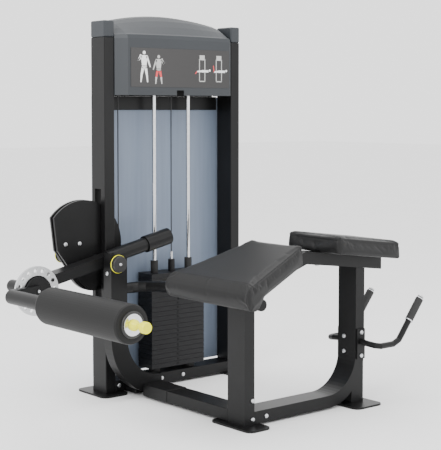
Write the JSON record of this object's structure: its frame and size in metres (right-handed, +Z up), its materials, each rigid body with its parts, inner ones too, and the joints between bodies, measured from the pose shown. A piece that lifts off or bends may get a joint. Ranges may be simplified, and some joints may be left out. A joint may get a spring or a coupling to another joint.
{
  "type": "lying leg curl machine",
  "caption": "Prone leg curl gym machine: bench with two pads, swinging roller lever with cam and counterweight, and a hooded weight-stack tower.",
  "frame": {"origin": "middle of the footprint's bounding box, on the floor", "axes": "+X from the user's feet to the head, +Y from the bench to the weight tower, +Z up"},
  "size_m": [1.5966, 1.3006, 1.628],
  "materials": {
    "powder_coat": "satin black powder coat",
    "vinyl": "black upholstery vinyl",
    "foam": "smooth-skinned foam",
    "rubber": "matt black rubber",
    "hood_plastic": "dark grey moulded plastic",
    "panel": "satin blue-grey sheet",
    "bright_steel": "bright steel",
    "stack_iron": "black painted iron",
    "yellow_plastic": "bright yellow plastic",
    "black_plastic": "black plastic",
    "cable": "black cable sheath"
  },
  "bodies": {
    "frame": {"front_leg": "powder_coat", "bench_rail": "powder_coat", "head_foot": "powder_coat", "pad_beam": "powder_coat", "brace_tube": "powder_coat", "cross_rail": "powder_coat", "pivot_upright": "powder_coat", "tower_tie": "powder_coat", "tower_column_left": "powder_coat", "tower_column_right": "powder_coat", "column_cap_left": "hood_plastic", "column_cap_right": "hood_plastic", "base_beam": "powder_coat", "crossbar": "powder_coat", "rear_panel": "panel", "pulley_bridge": "powder_coat", "hood": "hood_plastic", "lower_plates": "stack_iron", "stack_plate_03": "stack_iron", "stack_plate_04": "stack_iron", "stack_plate_05": "stack_iron", "guide_rod_left": "bright_steel", "guide_rod_right": "bright_steel", "stack_bumper_left": "rubber", "stack_bumper_right": "rubber", "cable_top_run": "cable", "cable_cam_run": "cable", "pivot_shaft": "bright_steel", "pivot_cap_near": "black_plastic", "pivot_cap_far": "black_plastic", "rear_bearing_arm": "powder_coat", "thigh_pad": "vinyl", "torso_pad": "vinyl", "handle_near": "powder_coat", "handle_far": "powder_coat", "grip_near": "rubber", "grip_far": "rubber"},
    "lever": {"lever_arm": "powder_coat", "counterweight": "powder_coat", "cam": "powder_coat", "adjuster_ring": "bright_steel"},
    "roller_crank": {"crank": "powder_coat", "roller_washer": "bright_steel"},
    "roller": {"foam_roller": "foam"},
    "knob": {"pull_knob": "yellow_plastic"},
    "lock": {"lock_pin": "bright_steel"},
    "lifted_stack": {"head_plate": "stack_iron", "stack_plate_01": "stack_iron", "stack_plate_02": "stack_iron", "guide_bush_left": "rubber", "guide_bush_right": "rubber", "cable_socket": "bright_steel", "cable_stack_run": "cable"},
    "selector": {"selector_pin": "yellow_plastic"},
    "left_pulley": {"top_pulley_left": "black_plastic"},
    "right_pulley": {"top_pulley_right": "black_plastic"}
  },
  "joints": [
    {"name": "lever_swing", "type": "hinge", "parent": "frame", "child": "lever", "pos_m": [-0.24432, 0.4303, 0.579], "axis": [0, 1, 0], "range_deg": [0, 100]},
    {"name": "roller_adjust", "type": "hinge", "parent": "lever", "child": "roller_crank", "pos_m": [-0.60945, 0.2503, 0.49805], "axis": [0, 1, 0], "range_deg": [-45, 45]},
    {"name": "roller_spin", "type": "hinge", "parent": "roller_crank", "child": "roller", "pos_m": [-0.72832, -0.3022, 0.488], "axis": [0, 1, 0], "continuous": true},
    {"name": "knob_pull", "type": "slide", "parent": "roller_crank", "child": "knob", "axis": [0, -1, 0], "range_m": [0, 0.012], "stiffness_N_per_m": 600, "springref_m": -0.01},
    {"name": "lock_pull", "type": "slide", "parent": "roller_crank", "child": "lock", "axis": [0, -1, 0], "range_m": [0, 0.012]},
    {"name": "stack_lift", "type": "slide", "parent": "frame", "child": "lifted_stack", "axis": [0, 0, 1], "range_m": [0, 0.26], "deforming": ["cable_stack_run"]},
    {"name": "selector_pull", "type": "slide", "parent": "lifted_stack", "child": "selector", "axis": [0, -1, 0], "range_m": [0, 0.06]},
    {"name": "pulley_left_spin", "type": "hinge", "parent": "frame", "child": "left_pulley", "pos_m": [-0.06652, 0.3953, 1.46], "axis": [0, 1, 0], "range_deg": [-320, 5]},
    {"name": "pulley_right_spin", "type": "hinge", "parent": "frame", "child": "right_pulley", "pos_m": [0.13068, 0.3953, 1.46], "axis": [0, 1, 0], "range_deg": [-320, 5]}
  ],
  "couplings": [
    {"joint": "lock_pull", "follows": "knob_pull", "ratio": 1},
    {"joint": "stack_lift", "follows": "lever_swing", "m_per_rad": 0.14},
    {"joint": "pulley_left_spin", "follows": "lever_swing", "ratio": -3.1111},
    {"joint": "pulley_right_spin", "follows": "lever_swing", "ratio": -3.1111}
  ]
}
